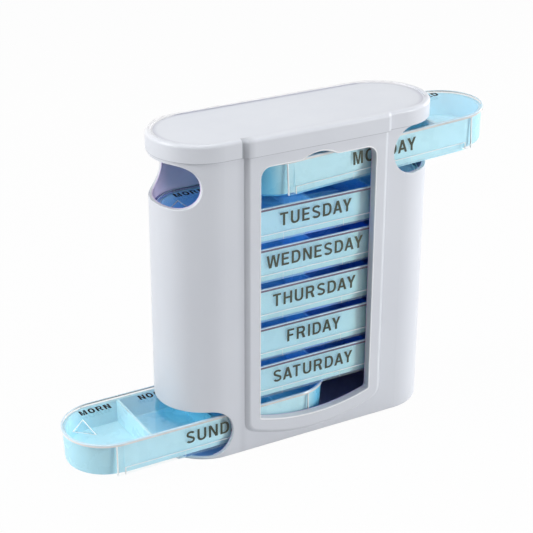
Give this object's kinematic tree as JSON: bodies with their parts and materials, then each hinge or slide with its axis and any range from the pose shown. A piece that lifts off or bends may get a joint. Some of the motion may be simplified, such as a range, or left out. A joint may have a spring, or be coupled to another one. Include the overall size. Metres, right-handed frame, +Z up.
{
  "type": "pill organizer",
  "caption": "White tower with a windowed front and lift-off cap, holding a stack of translucent blue pill trays with clear sliding lids; the top and bottom trays stand pulled out.",
  "frame": {"origin": "centre of the flat underside of the housing", "axes": "+X along the trays, towards the end the top tray slides out of; -Y out of the window; +Z up"},
  "size_m": [0.1811, 0.0409, 0.1277],
  "materials": {
    "white_shell": "gloss",
    "blue_tray": "gloss",
    "clear_lid": "gloss"
  },
  "bodies": {
    "housing": {"housing_shell": "white_shell", "tray_saturday": "blue_tray", "tray_friday": "blue_tray", "tray_thursday": "blue_tray", "tray_wednesday": "blue_tray", "tray_tuesday": "blue_tray", "lid_saturday": "clear_lid", "lid_friday": "clear_lid", "lid_thursday": "clear_lid", "lid_wednesday": "clear_lid", "lid_tuesday": "clear_lid"},
    "cap": {"top_cap": "white_shell"},
    "monday_tray": {"tray_monday": "blue_tray"},
    "monday_lid": {"lid_monday": "clear_lid"},
    "sunday_tray": {"tray_sunday": "blue_tray"},
    "sunday_lid": {"lid_sunday": "clear_lid"}
  },
  "joints": [
    {"name": "cap_lift", "type": "slide", "parent": "housing", "child": "cap", "axis": [0, 0, 1], "range_m": [0, 0.03]},
    {"name": "monday_tray_slide", "type": "slide", "parent": "housing", "child": "monday_tray", "axis": [1, 0, 0], "range_m": [-0.0303, 0.02]},
    {"name": "monday_lid_slide", "type": "slide", "parent": "monday_tray", "child": "monday_lid", "axis": [-0.9987, 0, -0.0506], "range_m": [0, 0.029]},
    {"name": "sunday_tray_slide", "type": "slide", "parent": "housing", "child": "sunday_tray", "axis": [-1, 0, 0], "range_m": [-0.042, 0.05]},
    {"name": "sunday_lid_slide", "type": "slide", "parent": "sunday_tray", "child": "sunday_lid", "axis": [-1, 0, 0], "range_m": [0, 0.08]}
  ]
}
